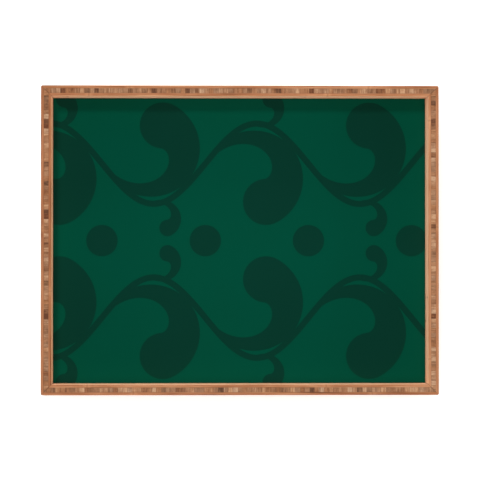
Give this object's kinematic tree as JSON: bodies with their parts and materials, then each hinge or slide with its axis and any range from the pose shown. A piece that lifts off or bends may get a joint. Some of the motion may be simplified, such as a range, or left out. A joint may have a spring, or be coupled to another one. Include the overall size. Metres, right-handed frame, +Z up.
{
  "type": "serving tray",
  "caption": "Rectangular bamboo serving tray with mitred three-ply walls and a flat panel printed with scrolling leaves in two greens.",
  "frame": {"origin": "centre of the rectangle that the tray stands on", "axes": "+X along the long side, +Y from the front wall to the back wall, +Z up"},
  "size_m": [0.45, 0.35, 0.045],
  "materials": {
    "bamboo_face_ply": "satin",
    "bamboo_core": "satin end grain",
    "bamboo_spline": "plain",
    "bamboo_base": "satin",
    "adhesive": "matte",
    "printed_aluminium": "semi-matt printed coat"
  },
  "bodies": {
    "root": {"front_wall_outer_ply": "bamboo_face_ply", "front_wall_core_strips": "bamboo_core", "front_wall_inner_ply": "bamboo_face_ply", "right_wall_outer_ply": "bamboo_face_ply", "right_wall_core_strips": "bamboo_core", "right_wall_inner_ply": "bamboo_face_ply", "back_wall_outer_ply": "bamboo_face_ply", "back_wall_core_strips": "bamboo_core", "back_wall_inner_ply": "bamboo_face_ply", "left_wall_outer_ply": "bamboo_face_ply", "left_wall_core_strips": "bamboo_core", "left_wall_inner_ply": "bamboo_face_ply", "front_right_spline": "bamboo_spline", "back_right_spline": "bamboo_spline", "back_left_spline": "bamboo_spline", "front_left_spline": "bamboo_spline", "base_board": "bamboo_base", "bonding_film": "adhesive", "printed_panel": "printed_aluminium"}
  },
  "joints": []
}
